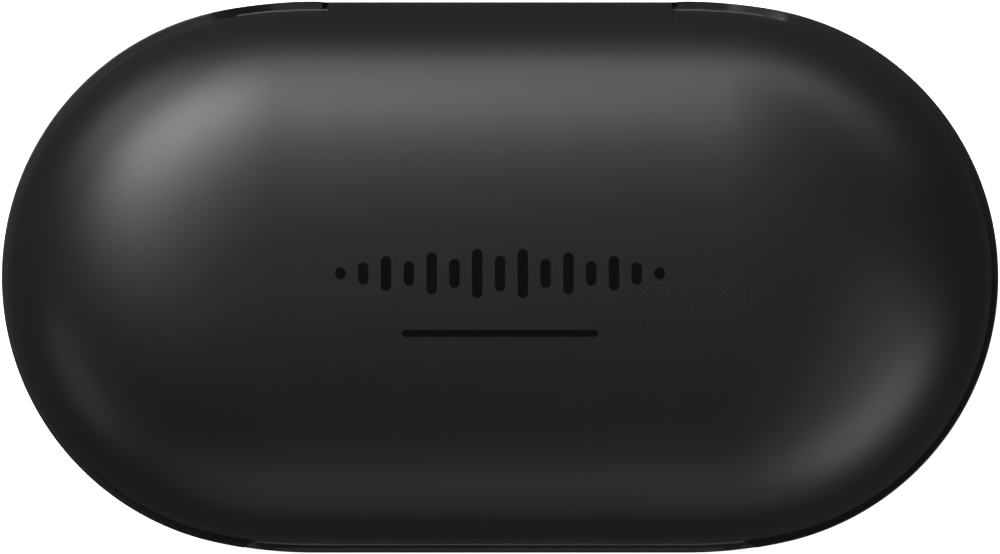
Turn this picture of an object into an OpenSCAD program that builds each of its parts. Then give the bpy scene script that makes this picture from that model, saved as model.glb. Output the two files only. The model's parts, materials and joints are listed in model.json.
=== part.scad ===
// Wireless earbuds case: a pebble-shaped charging case with a hinged lid and two cradles.
// Units are millimetres. X runs left to right, +Y points to the hinge at the back, +Z is up.
// The origin is the centre of the flat underside.

/* [Case] */
// Overall length, left to right
case_length = 70; // [70:0.5:72]
// Overall depth, front to back
case_depth = 38.8; // [38.8:0.2:39.6]
// Overall height with the lid closed
case_height = 26.5; // [26.5:0.5:28]
// Height of the base rim, where the case parts
rim_z = 15.4; // [15.4:0.1:15.6]
// Gap between the base rim and the lid edge
part_gap = 0.2; // [0.2:0.05:0.3]
// Wall thickness of the outer shells
wall = 1.3; // [1.2:0.1:1.3]
// Superellipse power of the base's side, higher is squarer
base_power = 3.2; // [3.2:0.1:3.6]
// Superellipse power of the lid's crown, higher is squarer
lid_power = 2.5; // [2.5:0.1:2.8]

/* [Lid edge] */
// How far the base stands out past the lid at the two ends
end_ledge = 0.34; // [0.34:0.02:0.46]
// How far the base stands out past the lid at the front
front_ledge = 0.55; // [0.52:0.01:0.6]
// How far the base stands out past the lid at the back
back_ledge = 0.59; // [0.59:0.01:0.62]
// Width of the small bead along the lid's lower edge
edge_bead = 0.1; // [0.05:0.05:0.15]

/* [Hinge] */
// Distance of the hinge line from the case's middle
hinge_y = 18.15; // [18.1:0.05:18.2]
// Outer radius of the lid's hinge barrel
barrel_r = 1.05; // [1:0.05:1.1]
// Half the length of the hinge barrel
barrel_half = 12.05; // [12:0.05:12.1]
// Radius of the base's two hinge ears
ear_r = 0.9; // [0.85:0.05:0.9]
// Width of each hinge ear
ear_w = 2; // [1.8:0.1:2]
// Radius of the hinge pin
pin_r = 0.45; // [0.4:0.05:0.45]

/* [Finger scoop] */
// Half the scoop's length at the lid edge
scoop_half = 18.4; // [17:0.1:18.6]
// Height of the scoop in the base rim
scoop_drop = 2.1; // [1.6:0.1:2.4]

/* [Cradles] */
// Distance of each cradle's middle from the case's middle
cradle_x = 17; // [17:0.1:17.3]
// Radius of a cradle at the deck
cradle_r = 10.4; // [10.2:0.1:10.4]
// Depth of a cradle's bowl below the deck
cradle_depth = 8.2; // [8:0.1:8.2]
// Radius of the pocket for the ear tip
tip_r = 3.8; // [3.6:0.1:3.8]
// Wall thickness of the bowls and tip pockets
bowl_wall = 0.9; // [0.8:0.1:0.9]

/* [Electronics] */
// Battery size along X
battery_w = 9.6; // [9:0.1:9.6]
// Battery size along Y
battery_l = 24.4; // [22:0.1:24.4]
// Battery thickness along Z
battery_h = 8; // [7:0.1:8]
// Thickness of the main board
board_t = 0.8; // [0.6:0.1:0.8]

/* [Hidden] */
$fn = 64;
eps = 0.02;

// Plan outline: a stadium of half-depth half_d, with round ends centred at +-spine.
half_d = case_depth / 2;
spine = case_length / 2 - half_d;
lid_r = half_d - (front_ledge + back_ledge) / 2;
lid_spine = spine + half_d - end_ledge - lid_r;
lid_y = (front_ledge - back_ledge) / 2;
lid_z = rim_z + part_gap;
lid_h = case_height - lid_z;

// Side profile of the base: a superellipse about crown_z, cut flat at the underside.
crown_z = rim_z - 0.3;
foot_sink = 0.5;
base_h = crown_z + foot_sink;
floor_t = 1.5;
curve_steps = 14;
rim_round = 0.25;

// Hinge, at the height between the rim and the lid edge.
hinge_z = rim_z + part_gap / 2;
ear_x = barrel_half + 0.35;
pin_half = ear_x + ear_w - 0.1;
ear_clear = ear_r + 0.15;
seat_r = barrel_r + 0.15;
rebate_y = half_d - wall - 0.07;
rebate_z = hinge_z - (half_d - back_ledge - hinge_y) - 0.2;
rebate_half = 23;
bore_clear = 0.05;

// Inner mouldings.
deck_r = half_d - wall - 0.3;
deck_top = rim_z - 0.1;
deck_bottom = 13.6;
glue_gap = 0.05;
cradle_power = 2.6;
liner_t = 0.9;
liner_r = lid_r - edge_bead - wall - 0.08;
liner_open_r = 14.8;
liner_open_h = 8.2;
liner_power = 3;
flange_t = 1;

// Electronics, from the floor upwards.
coil_r = 9.6;
coil_hole_r = 4.5;
coil_spine = 7;
coil_top = floor_t + 0.7;
ferrite_top = coil_top + 0.5;
board_z = 3.2;
board_top = board_z + board_t;
board_r = 12;
board_spine = 11;
battery_z = board_top + 0.3;
battery_back = 9.8;
flex_z = battery_z + battery_h + 0.2;
flex_t = 0.15;
screw_x = 6.6;
screw_y = 10;
screw_r = 0.6;
boss_r = 1.4;
usb_z = board_top + 1.6;
usb_back = 10.1;
usb_front = 17.4;
usb_r = 1.58;
usb_half = 8.94 / 2;
usb_t = 0.3;
light_z = 9;

// Charging pins, two in each cradle, in blocks that stand on the board.
pogo_y = 5.2;
pogo_gap = 3.6;
pogo_r = 0.45;
pogo_top = 9.2;
flange_z = 6.1;
pad_half = 3.7;
pad_near = 3.3;
pad_far = 7.1;
pad_bottom = 6.9;
pad_top = 8.3;
barrel_top = 6.7;
spring_z = 4.6;
spring_r = 0.55;
spring_wire = 0.09;
tip_y = -1.3;
tip_floor = 5.4;
magnet_y = -8.5;

shell_colour = [0.16, 0.16, 0.165];
inner_colour = [0.11, 0.11, 0.115];
steel_colour = [0.72, 0.72, 0.74];
gold_colour = [0.85, 0.66, 0.3];
board_colour = [0.05, 0.22, 0.16];
chip_colour = [0.07, 0.07, 0.08];

// Points of a superellipse from its widest place to the height "reach".
function side_curve(r, h, power, reach) =
    let (last = asin(pow(min(1, reach / h), power / 2)))
    [for (i = [0 : curve_steps])
        let (t = last * i / curve_steps)
        [r * pow(cos(t), 2 / power), h * pow(sin(t), 2 / power)]];

function turned_down(points, z) = [for (p = points) [p[0], z - p[1]]];
function raised(points, z) = [for (p = points) [p[0], z + p[1]]];
function reversed(points) = [for (i = [len(points) - 1 : -1 : 0]) points[i]];

// Sweeps a half profile, drawn at x >= 0, round a stadium of the given spine.
module sweep(s) {
    for (side = [-1, 1])
        translate([side * s, 0, 0])
            rotate([0, 0, -90 * side])
                rotate_extrude(angle = 180)
                    children();
    rotate([90, 0, 90])
        linear_extrude(2 * s, center = true) {
            children();
            mirror([1, 0])
                children();
        }
}

// A flat stadium plate, or a ring where hole > 0, from z0 to z1.
module plate(r, s, z0, z1, hole = 0) {
    sweep(s)
        translate([hole, z0])
            square([r - hole, z1 - z0]);
}

module box(low, high) {
    translate(low)
        cube(high - low);
}

// A round bar along X through the hinge line.
module hinge_bar(r, x0, x1) {
    translate([x0, hinge_y, hinge_z])
        rotate([0, 90, 0])
            cylinder(r = r, h = x1 - x0);
}

// A slot-shaped bar along Y, rounded at both ends: the section of a USB-C socket.
module usb_bar(r, half, y0, y1) {
    translate([0, y1, usb_z])
        rotate([90, 0, 0])
            linear_extrude(y1 - y0) {
                square([2 * (half - r), 2 * r], center = true);
                for (side = [-1, 1])
                    translate([side * (half - r), 0])
                        circle(r);
            }
}

module both_sides() {
    for (side = [-1, 1])
        translate([side * cradle_x, 0, 0])
            children();
}

// Outer lower housing, with the hinge ears and the finger scoop.
module base_shell() {
    outer = side_curve(half_d, base_h, base_power, crown_z);
    inner = side_curve(half_d - wall, base_h - wall, base_power, crown_z - floor_t);
    color(shell_colour) difference() {
        union() {
            difference() {
                sweep(spine)
                    polygon(concat(
                        [[half_d - wall, rim_z], [half_d - rim_round, rim_z]],
                        turned_down(outer, crown_z),
                        [[0, 0], [0, floor_t]],
                        reversed(turned_down(inner, crown_z))));
                back_rebate();
                finger_scoop();
            }
            for (side = [-1, 1])
                hinge_ear(side);
        }
        hinge_bar(pin_r + eps, -pin_half - 1, pin_half + 1);
        usb_bar(usb_r + 0.1, usb_half + 0.1, usb_back, half_d + 1);
        translate([0, -half_d - 1, light_z])
            rotate([-90, 0, 0])
                cylinder(r = 0.85, h = 4);
    }
}

// Room for the lid's back edge and hinge barrel as they swing down behind the rim.
module back_rebate() {
    box([-rebate_half, rebate_y, rebate_z], [rebate_half, half_d + 1, rim_z + 1]);
    box([-ear_x, hinge_y, hinge_z - seat_r], [ear_x, half_d + 1, rim_z + 1]);
    hinge_bar(seat_r, -ear_x, ear_x);
}

// A sloped cut under the lid's front edge, with slanted ends.
module finger_scoop() {
    back = half_d - 1.1;
    intersection() {
        rotate([90, 0, 90])
            linear_extrude(2 * half_d + 10, center = true)
                polygon([
                    [-back, rim_z + 1], [-back, rim_z - 0.5],
                    [-half_d - 0.1, rim_z - scoop_drop], [-half_d - 1, rim_z - scoop_drop],
                    [-half_d - 1, rim_z + 1]]);
        translate([0, 0, rim_z - 4])
            linear_extrude(6)
                polygon([
                    [-scoop_half, -back], [scoop_half, -back],
                    [scoop_half - 1.1, -half_d - 1], [1.1 - scoop_half, -half_d - 1]]);
    }
}

module hinge_ear(side) {
    x0 = side > 0 ? ear_x : -ear_x - ear_w;
    hinge_bar(ear_r, x0, x0 + ear_w);
    box([x0, hinge_y - ear_r, deck_bottom + 0.7], [x0 + ear_w, hinge_y + 0.5, hinge_z]);
}

// Inner moulding with the two cradles, held to the base by a glue line.
module cradle_deck() {
    magnet_x = 9;
    color(inner_colour) difference() {
        union() {
            plate(deck_r, spine, deck_bottom, deck_top);
            both_sides() {
                bowl(cradle_r + bowl_wall, cradle_depth + bowl_wall);
                translate([0, tip_y, tip_floor - bowl_wall])
                    cylinder(r = tip_r + bowl_wall, h = 5);
                translate([0, magnet_y, 5.2])
                    cylinder(r = 2.8, h = 5);
                box([-pad_half, pad_near, pad_bottom - 0.4], [pad_half, pad_far, pad_top]);
            }
            for (sx = [-1, 1]) {
                for (sy = [-1, 1])
                    translate([sx * screw_x, sy * screw_y, board_top])
                        cylinder(r = boss_r, h = deck_bottom - board_top + 0.5);
                translate([sx * magnet_x, 0, 0])
                    box([-4.8, -deck_r + 0.2, 9.4], [4.8, -15.4, deck_bottom + 0.5]);
            }
        }
        difference() {
            both_sides() {
                bowl(cradle_r, cradle_depth);
                translate([0, tip_y, tip_floor])
                    cylinder(r = tip_r, h = 6);
            }
            both_sides()
                box([-pad_half, pad_near, 0], [pad_half, pad_far, pad_top]);
        }
        both_sides() {
            box([0.1 - pad_half, pad_near + 0.1, 0], [pad_half - 0.1, pad_far - 0.1, pad_bottom]);
            for (i = [-1, 1])
                translate([i * pogo_gap / 2, pogo_y, 0])
                    cylinder(r = pogo_r + 0.06, h = pad_top + 1);
            translate([0, magnet_y, 0])
                cylinder(r = 2.05, h = 6.85);
        }
        for (sx = [-1, 1]) {
            for (sy = [-1, 1])
                translate([sx * screw_x, sy * screw_y, 0])
                    cylinder(r = screw_r + eps, h = 8);
            translate([sx * magnet_x, 0, 0])
                box([-4.02, -17.32, 0], [4.02, -16.18, 13.05]);
        }
        box([-14.7, hinge_y - 1.3, deck_bottom + 0.6], [14.7, half_d, rim_z]);
        translate([0, -5, 0])
            cylinder(r = 0.95, h = rim_z);
    }
}

// A cradle's bowl below the deck's top, open at the deck.
module bowl(r, depth) {
    rotate_extrude()
        polygon(concat([[0, deck_top + 1], [r, deck_top + 1]],
            turned_down(side_curve(r, depth, cradle_power, depth), deck_top)));
}

module deck_adhesive() {
    color([0.75, 0.73, 0.66])
        plate(half_d - wall - glue_gap, spine, deck_bottom + 0.1, deck_bottom + 0.6, deck_r);
}

module deck_screws() {
    head_h = 0.4;
    color(steel_colour)
        for (sx = [-1, 1], sy = [-1, 1])
            translate([sx * screw_x, sy * screw_y, board_z - head_h])
                difference() {
                    union() {
                        cylinder(r = 1.1, h = head_h);
                        cylinder(r = screw_r, h = 4);
                    }
                    for (turn = [0, 90])
                        rotate([0, 0, turn])
                            box([-0.6, -0.12, -1], [0.6, 0.12, 0.22]);
                }
}

module hinge_pin() {
    color(steel_colour)
        hinge_bar(pin_r, -pin_half, pin_half);
}

// Outer lid with its edge bead, hinge barrel and the notches for the ears.
module lid_shell() {
    r = lid_r - edge_bead;
    outer = side_curve(r, lid_h, lid_power, lid_h);
    inner = side_curve(r - wall, lid_h - wall, lid_power, lid_h - wall);
    color(shell_colour) difference() {
        union() {
            difference() {
                translate([0, lid_y, 0])
                    sweep(lid_spine)
                        polygon(concat(
                            [[r - wall, lid_z], [lid_r, lid_z], [lid_r, lid_z + edge_bead],
                                [r, lid_z + 2 * edge_bead]],
                            [for (p = raised(outer, lid_z)) if (p[1] > lid_z + 3 * edge_bead) p],
                            [for (p = reversed(raised(inner, lid_z))) if (p[1] > lid_z + eps) p]));
                hinge_bar(ear_clear, -pin_half - 0.3, pin_half + 0.3);
            }
            intersection() {
                hinge_fairing();
                box([-barrel_half, 0, 0], [barrel_half, half_d, case_height]);
            }
        }
        hinge_bar(pin_r + bore_clear, -barrel_half - 1, barrel_half + 1);
    }
}

// The barrel and the blend that carries the lid's back wall out over it.
module hinge_fairing() {
    lid_back = half_d - back_ledge - edge_bead;
    hinge_bar(barrel_r, -barrel_half, barrel_half);
    rotate([90, 0, 90])
        linear_extrude(2 * barrel_half, center = true)
            polygon([
                [lid_back - wall + 0.3, lid_z], [hinge_y + barrel_r - eps, hinge_z],
                [hinge_y + barrel_r - 0.02, hinge_z + 0.7], [lid_back + 0.1, hinge_z + 2],
                [lid_back - 0.12, hinge_z + 3], [lid_back - wall + 0.3, hinge_z + 2.4]]);
}

// Inner lid moulding: a hollow over the earbuds and a flat flange at the edge.
module lid_liner() {
    hollow = side_curve(liner_open_r, liner_open_h, liner_power, liner_open_h);
    skin = side_curve(liner_open_r + liner_t, liner_open_h + liner_t, liner_power, liner_open_h + liner_t);
    color(inner_colour) difference() {
        translate([0, lid_y, 0])
            sweep(lid_spine)
                polygon(concat(
                    [[liner_open_r, lid_z], [liner_r, lid_z], [liner_r, lid_z + flange_t],
                        [liner_open_r + liner_t, lid_z + flange_t]],
                    [for (p = raised(skin, lid_z)) if (p[1] > lid_z + flange_t + 0.3) p],
                    [for (p = reversed(raised(hollow, lid_z))) if (p[1] > lid_z + eps) p]));
        hinge_bar(barrel_r + 0.1, -pin_half - 0.4, pin_half + 0.4);
    }
}

module lid_magnets() {
    color(steel_colour)
        for (side = [-1, 1])
            translate([side * 9, 0, 0])
                box([-4, -17.05, lid_z + flange_t + 0.05], [4, -15.95, lid_z + flange_t + 2.05]);
}

module hall_magnet() {
    color(steel_colour)
        box([-1.5, 15.7, lid_z + flange_t + 0.05], [1.5, 16.7, lid_z + flange_t + 2.05]);
}

module battery() {
    y0 = battery_back - battery_l;
    fold = 0.5;
    color([0.62, 0.64, 0.68]) difference() {
        box([-battery_w / 2, y0, battery_z], [battery_w / 2, battery_back, battery_z + battery_h]);
        for (side = [-1, 1])
            translate([side * battery_w / 2, battery_back, battery_z + battery_h / 2])
                cube([2 * fold, 2 * fold, battery_h + 1], center = true);
    }
}

module battery_tape() {
    y0 = battery_back - battery_l;
    color([0.2, 0.2, 0.22])
        box([-battery_w / 2 + 0.6, y0 + 4, board_top], [battery_w / 2 - 0.6, battery_back - 2, battery_z]);
}

module battery_leads() {
    color([0.7, 0.1, 0.08])
        for (y = [-7.2, -6.2])
            translate([-7.2, y, board_top + 0.7])
                rotate([0, 90, 0])
                    cylinder(r = 0.28, h = 7.2 - battery_w / 2);
}

module battery_plug() {
    color([0.85, 0.83, 0.76]) difference() {
        box([-9.6, -8.3, board_top], [-7.2, -5.1, board_top + 1.2]);
        for (y = [-7.2, -6.2])
            box([-9.2, y - 0.25, board_top + 0.5], [-7.8, y + 0.25, board_top + 2]);
    }
}

module main_board() {
    color(board_colour) difference() {
        union() {
            plate(board_r, board_spine, board_z, board_top);
            box([-5.2, board_r - 1, board_z], [5.2, board_r + 1.6, board_top]);
        }
        for (sx = [-1, 1], sy = [-1, 1])
            translate([sx * screw_x, sy * screw_y, 0])
                cylinder(r = screw_r + 0.05, h = 8);
    }
}

// Sheet-metal can over the power chips, open underneath.
module shield_can() {
    sheet = 0.15;
    low = [6.3, -7.5, board_top];
    high = [11.8, 7.5, board_top + 1.3];
    color(steel_colour) difference() {
        box(low, high);
        box(low + [sheet, sheet, -1], high - [sheet, sheet, sheet]);
    }
}

module power_chips() {
    color(chip_colour)
        for (y = [-4.4, 0, 4.4])
            box([7.2, y - 1.7, board_top], [10.9, y + 1.7, board_top + 0.8]);
}

module controller_chip() {
    color(chip_colour)
        box([-11, 0.5, board_top], [-6.5, 5, board_top + 0.9]);
}

module power_inductor() {
    color([0.3, 0.3, 0.32])
        box([-10.2, -3.2, board_top], [-7.4, -0.6, board_top + 1.2]);
}

module board_capacitors() {
    color([0.6, 0.48, 0.34])
        for (side = [-1, 1], i = [0 : 4])
            translate([side * 12.4, 0, 0])
                box([-0.3, 6 - i * 1.1 - 0.3, board_top], [0.3, 6 - i * 1.1 + 0.3, board_top + 0.35]);
}

module usb_c_shell() {
    color(steel_colour) difference() {
        usb_bar(usb_r, usb_half, usb_back, usb_front);
        usb_bar(usb_r - usb_t, usb_half - usb_t, usb_back - 1, usb_front + 1);
    }
}

module usb_c_tongue() {
    color(chip_colour) {
        usb_bar(usb_r - usb_t, usb_half - usb_t, usb_back, usb_back + 1.4);
        box([-3.35, usb_back + 1, usb_z - 0.35], [3.35, usb_back + 6.2, usb_z + 0.35]);
    }
}

module usb_c_contacts() {
    color(gold_colour)
        for (i = [-5.5 : 1 : 5.5], face = [0, 1])
            box([i * 0.5 - 0.12, usb_back + 2, usb_z + 0.35 - face * 0.75],
                [i * 0.5 + 0.12, usb_back + 5.8, usb_z + 0.4 - face * 0.75]);
}

// Racetrack coil for wireless charging, with the lines between its turns.
module charging_coil() {
    turns = 8;
    pitch = (coil_r - coil_hole_r) / turns;
    color([0.78, 0.42, 0.24]) difference() {
        plate(coil_r, coil_spine, floor_t, coil_top, coil_hole_r);
        for (i = [1 : turns - 1])
            plate(coil_hole_r + i * pitch + 0.06, coil_spine, coil_top - 0.15, coil_top + 1,
                coil_hole_r + i * pitch - 0.06);
    }
}

module coil_ferrite() {
    color([0.22, 0.2, 0.2]) difference() {
        plate(coil_r, coil_spine, coil_top, ferrite_top);
        box([-30, -1.2, 0], [-15.6, 1.2, 5]);
    }
}

module coil_leads() {
    color([0.78, 0.42, 0.24])
        for (y = [-0.6, 0.6])
            translate([-16.1, y, coil_top])
                cylinder(r = 0.2, h = board_z - coil_top);
}

// Block that holds the two charging pins of one cradle.
module pogo_block() {
    difference() {
        box([-3.5, 3.6, board_top], [3.5, 6.8, pad_bottom - 0.1]);
        for (i = [-1, 1])
            translate([i * pogo_gap / 2, pogo_y, board_top + 0.3])
                cylinder(r = 0.97, h = 4);
    }
}

module pogo_block_left() {
    color([0.1, 0.1, 0.1])
        translate([-cradle_x, 0, 0])
            pogo_block();
}

module pogo_block_right() {
    color([0.1, 0.1, 0.1])
        translate([cradle_x, 0, 0])
            pogo_block();
}

// Brass barrels, crimped in at the top to hold the plungers.
module pogo_barrels() {
    color(gold_colour)
        for (side = [-1, 1], i = [-1, 1])
            translate([side * cradle_x + i * pogo_gap / 2, pogo_y, 0])
                rotate_extrude()
                    polygon([[0, board_top + 0.3], [0.95, board_top + 0.3], [0.95, barrel_top],
                        [0.52, barrel_top], [0.52, barrel_top - 0.15], [0.76, barrel_top - 0.15],
                        [0.76, spring_z], [0, spring_z]]);
}

// Spring plunger with a retaining flange and a round tip, at pin place x.
module pogo_pin(x) {
    flange_top = flange_z + 0.4;
    color(gold_colour)
        translate([x, pogo_y, 0])
            rotate_extrude()
                polygon(concat(
                    [[0, flange_z], [0.7, flange_z], [0.7, flange_top], [pogo_r, flange_top]],
                    [for (t = [0 : 15 : 90]) [pogo_r * cos(t), pogo_top - pogo_r + pogo_r * sin(t)]]));
}

// Closed helical wire, four turns, under the plunger at pin place x.
module pogo_spring(x) {
    turns = 4;
    per_turn = 10;
    sides = 6;
    rings = turns * per_turn + 1;
    lift = flange_z - spring_z - 2 * spring_wire - 2 * eps;
    points = [for (i = [0 : rings - 1], k = [0 : sides - 1])
        let (a = 360 * i / per_turn, b = 360 * k / sides, r = spring_r + spring_wire * cos(b))
        [r * cos(a), r * sin(a), spring_z + spring_wire + eps + lift * i / (rings - 1) + spring_wire * sin(b)]];
    walls = [for (i = [0 : rings - 2], k = [0 : sides - 1])
        let (n = (k + 1) % sides, p = i * sides, q = p + sides)
        each [[p + k, q + k, q + n], [p + k, q + n, p + n]]];
    ends = [[for (k = [0 : sides - 1]) k], [for (k = [sides - 1 : -1 : 0]) (rings - 1) * sides + k]];
    color(steel_colour)
        translate([x, pogo_y, 0])
            polyhedron(points, concat(walls, ends));
}

function pogo_x(side, i) = side * (cradle_x + i * pogo_gap / 2);

module cradle_magnets() {
    color(steel_colour)
        both_sides()
            translate([0, magnet_y, 5.3])
                cylinder(r = 2, h = 1.5);
}

module base_magnets() {
    color(steel_colour)
        for (side = [-1, 1])
            translate([side * 9, 0, 0])
                box([-4, -17.3, 10], [4, -16.2, 13]);
}

// Flexible strip over the battery that carries both lamps and the lid sensor.
module sensor_flex() {
    half_w = 2.2;
    front = battery_back - battery_l - 0.3;
    color([0.75, 0.45, 0.12]) {
        box([-half_w, front, flex_z], [half_w, 14, flex_z + flex_t]);
        box([-half_w, front, light_z - 1.4], [half_w, front + flex_t, flex_z + flex_t]);
        box([-half_w, battery_back + 0.06, board_top], [half_w, battery_back + 0.21, flex_z + flex_t]);
    }
}

module hall_sensor() {
    color(chip_colour)
        box([-0.8, 11.6, flex_z + flex_t], [0.8, 13, flex_z + flex_t + 0.6]);
}

module inner_led() {
    color([0.95, 0.93, 0.8])
        box([-0.5, -5.8, flex_z + flex_t], [0.5, -4.2, flex_z + flex_t + 0.45]);
}

module inner_light_guide() {
    color([0.85, 0.87, 0.88])
        translate([0, -5, deck_bottom])
            cylinder(r = 0.9, h = deck_top - deck_bottom);
}

module front_led() {
    y1 = battery_back - battery_l - 0.3;
    color([0.95, 0.93, 0.8])
        box([-0.8, y1 - 0.4, light_z - 0.5], [0.8, y1, light_z + 0.5]);
}

module front_light_guide() {
    y1 = battery_back - battery_l - 0.8;
    color([0.85, 0.87, 0.88])
        translate([0, y1, light_z])
            rotate([90, 0, 0])
                cylinder(r = 0.8, h = half_d - 0.4 + y1);
}

base_shell();
cradle_deck();
deck_adhesive();
deck_screws();
hinge_pin();
lid_shell();
lid_liner();
lid_magnets();
hall_magnet();
battery();
battery_tape();
battery_leads();
battery_plug();
main_board();
shield_can();
power_chips();
controller_chip();
power_inductor();
board_capacitors();
usb_c_shell();
usb_c_tongue();
usb_c_contacts();
charging_coil();
coil_ferrite();
coil_leads();
pogo_block_left();
pogo_block_right();
pogo_barrels();
pogo_pin(pogo_x(-1, 1));  // pogo_pin_left_outer
pogo_pin(pogo_x(-1, -1));  // pogo_pin_left_inner
pogo_pin(pogo_x(1, -1));  // pogo_pin_right_inner
pogo_pin(pogo_x(1, 1));  // pogo_pin_right_outer
pogo_spring(pogo_x(-1, 1));  // pogo_spring_left_outer
pogo_spring(pogo_x(-1, -1));  // pogo_spring_left_inner
pogo_spring(pogo_x(1, -1));  // pogo_spring_right_inner
pogo_spring(pogo_x(1, 1));  // pogo_spring_right_outer
cradle_magnets();
base_magnets();
sensor_flex();
hall_sensor();
inner_led();
inner_light_guide();
front_led();
front_light_guide();
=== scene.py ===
"""Visual model of a wireless earbuds case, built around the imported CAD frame."""

import json
import math

import bmesh
import bpy
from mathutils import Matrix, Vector


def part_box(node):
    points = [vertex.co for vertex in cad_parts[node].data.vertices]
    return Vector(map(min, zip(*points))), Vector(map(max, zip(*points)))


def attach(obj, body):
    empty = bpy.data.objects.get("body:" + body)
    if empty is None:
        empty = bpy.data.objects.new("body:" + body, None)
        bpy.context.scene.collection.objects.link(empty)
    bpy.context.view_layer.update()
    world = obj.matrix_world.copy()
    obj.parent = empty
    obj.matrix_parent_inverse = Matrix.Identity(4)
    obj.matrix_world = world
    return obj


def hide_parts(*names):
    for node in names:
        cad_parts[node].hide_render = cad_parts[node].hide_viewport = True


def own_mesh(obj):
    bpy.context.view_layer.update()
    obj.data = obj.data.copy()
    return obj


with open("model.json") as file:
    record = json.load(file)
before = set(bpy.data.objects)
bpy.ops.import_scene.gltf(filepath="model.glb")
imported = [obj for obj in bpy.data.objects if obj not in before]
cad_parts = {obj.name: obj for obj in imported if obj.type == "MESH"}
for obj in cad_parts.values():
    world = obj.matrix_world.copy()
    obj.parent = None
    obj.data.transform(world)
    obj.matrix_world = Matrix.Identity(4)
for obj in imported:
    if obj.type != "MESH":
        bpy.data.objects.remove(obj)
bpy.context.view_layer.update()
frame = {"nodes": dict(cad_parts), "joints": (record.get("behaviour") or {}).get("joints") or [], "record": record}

MM = 0.001


def size_of(node):
    """A CAD node's low and high corners in millimetres."""
    low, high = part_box(node)
    return [c / MM for c in low], [c / MM for c in high]


# ---- Sizes in millimetres -----------------------------------------------------------------

lid_low, lid_high = size_of("lid_shell")
liner_low = size_of("lid_liner")[0]
deck_high = size_of("cradle_deck")[1]
hinge = next(joint for joint in frame["joints"] if joint["name"] == "lid_hinge")

# Outline: a stadium, whose ends are eased inwards to a tip arc between two wide shoulder arcs.
HALF_DEPTH = 19.4
HALF_LENGTH = 35.0
SPINE = HALF_LENGTH - HALF_DEPTH
TIP_R = 19.07
TIP_ARC_SINE = math.sin(math.radians(76.2))
SHOULDER_X = 13.0
SHOULDER_R = (HALF_DEPTH ** 2 + (HALF_LENGTH - SHOULDER_X) ** 2
              - 2 * (HALF_LENGTH - SHOULDER_X) * TIP_R) / (2 * (HALF_DEPTH - TIP_R))
PULL_POWER = 6

# Levels shared by the lid, the base and the deck.
DECK_TOP = deck_high[2]
RIM_Z = DECK_TOP + 0.1
LID_Z = liner_low[2]
LID_TOP = lid_high[2]
WALL = 1.3

# Hinge: barrel on the lid, ears and pin on the base.
HINGE_Y = hinge["pos_m"][1] / MM
HINGE_Z = hinge["pos_m"][2] / MM
BARREL_R = 1.05
BARREL_HALF = 12.05
BARREL_ROOM = BARREL_R + 0.1
ROOM_TOP = 1.5
TONGUE_Y = 19.3
TONGUE_FADE_W = 8
TONGUE_TOP = 4.6
TONGUE_EASE = 4.0
EAR_X = BARREL_HALF + 0.45
EAR_W = 1.9
EAR_R = 0.9
EAR_SHOWN_R = 0.75
EAR_EDGE = 0.12
EAR_STEPS = 48
EAR_FOOT_SINE = -0.2
EAR_FOOT_Y = 0.5
EAR_FOOT_DROP = 1.15
EAR_FOOT_STRETCH = 1.9
PIN_HOLE_R = 0.47
NOTCH_HALF = 14.55
NOTCH_GAP = 0.2

# Lid crown and the bead round its lower edge, as (outwards, up) from the crown's foot.
BEAD = 0.1
BEAD_H = 0.25
LID_R = 18.83
LID_CROWN_R = LID_R - BEAD
LID_SPINE = lid_high[0] - LID_R
LID_Y = lid_low[1] + LID_R
LID_H = LID_TOP - LID_Z
LID_POWER = 2.5
CROWN_FOOT = 0.26
BEAD_SECTION = [(0.0, BEAD_H), (0.03, 0.17), (0.07, 0.13), (BEAD, 0.09),
                (BEAD, 0.04), (0.07, 0.005), (0.03, 0.0)]
UNDERSIDE = [-0.1, -0.3, -0.5, -0.7, -0.9, -1.1, -1.2]

# Base shell, with the rebate at the back that the hinge sits in.
BASE_POWER = 3.2
CROWN_Z = RIM_Z - 0.3
INNER_EDGE = HALF_DEPTH - WALL
FOOT_SINK = 0.5
FOOT_EASE = 0.02
FOOT_TURN = 2.0
FLOOR_Z = 1.5
BASE_H = CROWN_Z + FOOT_SINK
RIM_ROUND = 0.09
WALL_LOW_Z = 8
WALL_END_Y = 15
REBATE_X = 15.8
REBATE_RAMP = 4.6
REBATE_Y = 18.0
REBATE_Z = 14.68
REBATE_STEP = 0.1
SEAT_R = BARREL_R + 0.15
POCKET_Z = 13.9
POCKET_START = 0.3
POCKET_WALL = 0.12
BACK_FLAT_Y = 19.35
BACK_FLAT_PAST = 0.2
BACK_FLAT_EASE = 0.3

# Finger scoop in the front of the rim.
SCOOP_HALF = 18.4
SCOOP_END = 1.1
SCOOP_TAPER = 0.6
SCOOP_BACK = 18.3
SCOOP_DROP = 1.1
SCOOP_ROUND = 0.45
SCOOP_INSET = 0.01

# USB-C port at the back and the lamp hole in front.
PLUG_IN_Y = 12.0
FLARE_DEPTH = 1.1
PORT_Z = 5.6
PORT_HALF_W = 4.57
PORT_R = 1.68
PORT_OUT_Y = 19.5
PORT_FLARE = 0.48
LAMP_Z = 9.0
LAMP_HALF_W = 0.851
LAMP_R = 0.85
LAMP_OUT_Y = 20.2
LAMP_FLARE = 0.2

# Cradle deck: the rounded edges of its bowls, tip pockets and lamp hole.
CRADLE_X = 17.0
CRADLE_R = 10.4
BOWL_EDGE_W = 0.5
BOWL_EDGE_H = 0.7
TIP_POCKET_R = 3.8
TIP_POCKET_Y = -1.3
TIP_EDGE_W = 0.45
TIP_EDGE_LOW = 6.7
TIP_EDGE_TOP = 7.4
INNER_LAMP_R = 0.95
INNER_LAMP_Y = -5.0
INNER_LAMP_EDGE = 0.2
CUTTER_INSET = 0.03
CUTTER_ABOVE = 0.4
FLAT_NORMAL = 0.9995

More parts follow.
